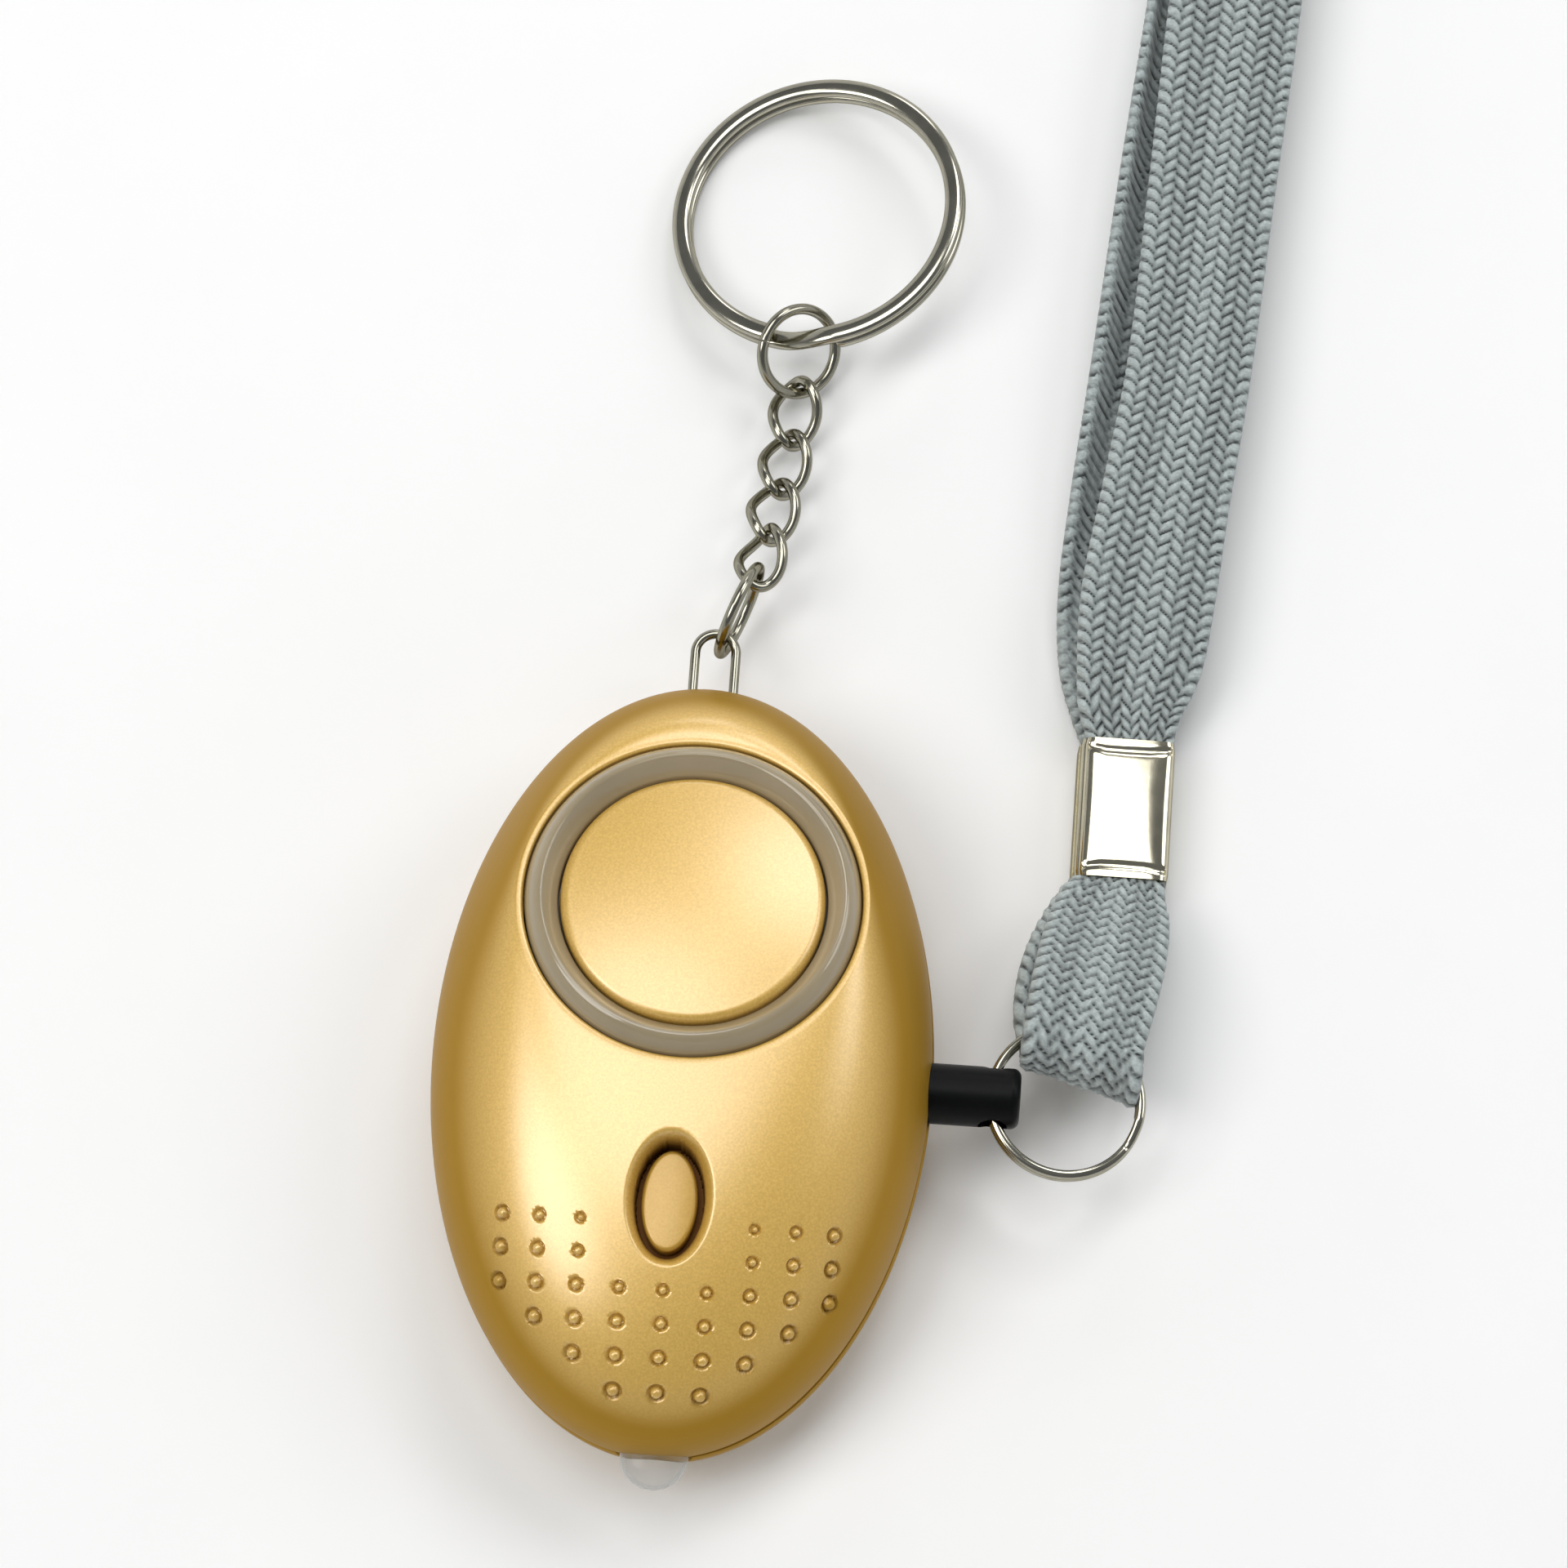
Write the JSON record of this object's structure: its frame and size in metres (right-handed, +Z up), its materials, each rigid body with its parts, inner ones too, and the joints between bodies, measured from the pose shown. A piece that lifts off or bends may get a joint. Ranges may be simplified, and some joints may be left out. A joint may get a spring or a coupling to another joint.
{
  "type": "personal safety alarm",
  "caption": "Egg-shaped pull-pin personal safety alarm with siren cap, strobe ring, lamp button and torch LED, with a key ring on a curb chain and a braided wrist strap.",
  "frame": {"origin": "middle of the flat rest face on the back of the case", "axes": "+X to the right towards the pull pin, +Y along the case towards the key ring, +Z up out of the front face with the siren"},
  "size_m": [0.07, 0.1938, 0.0209],
  "materials": {
    "gold_shell": "satin metallic paint over moulded plastic",
    "smoke_ring": "translucent, glossy",
    "clear_lens": "clear",
    "nickel_wire": "bright nickel plate",
    "clasp_metal": "pale plated sheet",
    "grey_braid": "flat braided cord",
    "black_plastic": "satin",
    "board": "solder mask",
    "cream_plastic": "moulded",
    "copper_wire": "enamelled copper",
    "brass_sheet": "rolled",
    "piezo_ceramic": "fired",
    "steel": "plated",
    "wire_cover": "insulated wire"
  },
  "bodies": {
    "case": {"front_shell": "gold_shell", "back_shell": "gold_shell", "light_ring": "smoke_ring", "siren_cap": "gold_shell", "torch_led": "clear_lens", "led_leads": "steel", "bail": "nickel_wire", "circuit_board": "board", "tact_switch": "black_plastic", "driver_chip": "black_plastic", "boost_coil": "copper_wire", "piezo_plate": "brass_sheet", "piezo_ceramic": "piezo_ceramic", "sound_chamber": "cream_plastic", "strobe_leds": "cream_plastic", "pin_contact_upper": "brass_sheet", "pin_contact_lower": "brass_sheet", "battery_cells": "steel", "battery_contact_positive": "brass_sheet", "battery_contact_negative": "brass_sheet", "battery_links": "steel", "piezo_leads": "wire_cover", "case_screws": "steel"},
    "button": {"lamp_button": "gold_shell"},
    "stem": {"switch_plunger": "cream_plastic"},
    "pin": {"pull_pin": "black_plastic"},
    "pin_ring": {"pin_ring": "nickel_wire"},
    "strap": {"ring_strap_loop": "grey_braid", "strap_clasp": "clasp_metal", "wrist_strap": "grey_braid"},
    "lower_jump_ring": {"lower_jump_ring": "nickel_wire"},
    "link_1": {"chain_link_1": "nickel_wire"},
    "link_2": {"chain_link_2": "nickel_wire"},
    "link_3": {"chain_link_3": "nickel_wire"},
    "link_4": {"chain_link_4": "nickel_wire"},
    "upper_jump_ring": {"upper_jump_ring": "nickel_wire"},
    "key_ring": {"key_ring": "nickel_wire"}
  },
  "joints": [
    {"name": "button_press", "type": "slide", "parent": "case", "child": "button", "axis": [0, 0, -1], "range_m": [0, 0.0003], "stiffness_N_per_m": 500, "springref_m": -0.0002},
    {"name": "stem_press", "type": "slide", "parent": "case", "child": "stem", "axis": [0, 0, -1], "range_m": [0, 0.0003]},
    {"name": "pin_pull", "type": "slide", "parent": "case", "child": "pin", "axis": [1, 0, 0], "range_m": [0, 0.03]},
    {"name": "pin_ring_swing", "type": "hinge", "parent": "pin", "child": "pin_ring", "pos_m": [0.02555, 0, 0.008], "axis": [0, 1, 0], "range_deg": [-45, 30]},
    {"name": "strap_swing", "type": "hinge", "parent": "pin_ring", "child": "strap", "pos_m": [0.03264, 0.00629, 0.00723], "axis": [0.9762, -0.1908, -0.1026], "range_deg": [-20, 22]},
    {"name": "lower_ring_swing", "type": "hinge", "parent": "case", "child": "lower_jump_ring", "pos_m": [0.0005, 0.0381, 0.008], "axis": [1, 0, 0], "range_deg": [-30, 60]},
    {"name": "link_1_swing", "type": "hinge", "parent": "lower_jump_ring", "child": "link_1", "pos_m": [0.00302, 0.04414, 0.00598], "axis": [0.0407, 0.2895, 0.9563], "range_deg": [-20, 20]},
    {"name": "link_2_lift", "type": "hinge", "parent": "link_1", "child": "link_2", "pos_m": [0.00347, 0.0482, 0.00473], "axis": [0.9903, -0.1392, 0], "range_deg": [-15, 15]},
    {"name": "link_3_swing", "type": "hinge", "parent": "link_2", "child": "link_3", "pos_m": [0.00411, 0.05281, 0.00339], "axis": [0.0242, 0.172, 0.9848], "range_deg": [-20, 20]},
    {"name": "link_4_lift", "type": "hinge", "parent": "link_3", "child": "link_4", "pos_m": [0.00478, 0.05753, 0.00255], "axis": [0.9962, -0.0872, 0], "range_deg": [-15, 15]},
    {"name": "upper_ring_swing", "type": "hinge", "parent": "link_4", "child": "upper_jump_ring", "pos_m": [0.0052, 0.06235, 0.00255], "axis": [0.0436, -0.4981, 0.866], "range_deg": [-15, 15]},
    {"name": "key_ring_lift", "type": "hinge", "parent": "upper_jump_ring", "child": "key_ring", "pos_m": [0.00479, 0.067, 0.00525], "axis": [0.9962, -0.0872, 0], "range_deg": [-8, 20]}
  ],
  "couplings": [
    {"joint": "stem_press", "follows": "button_press", "ratio": 1}
  ]
}
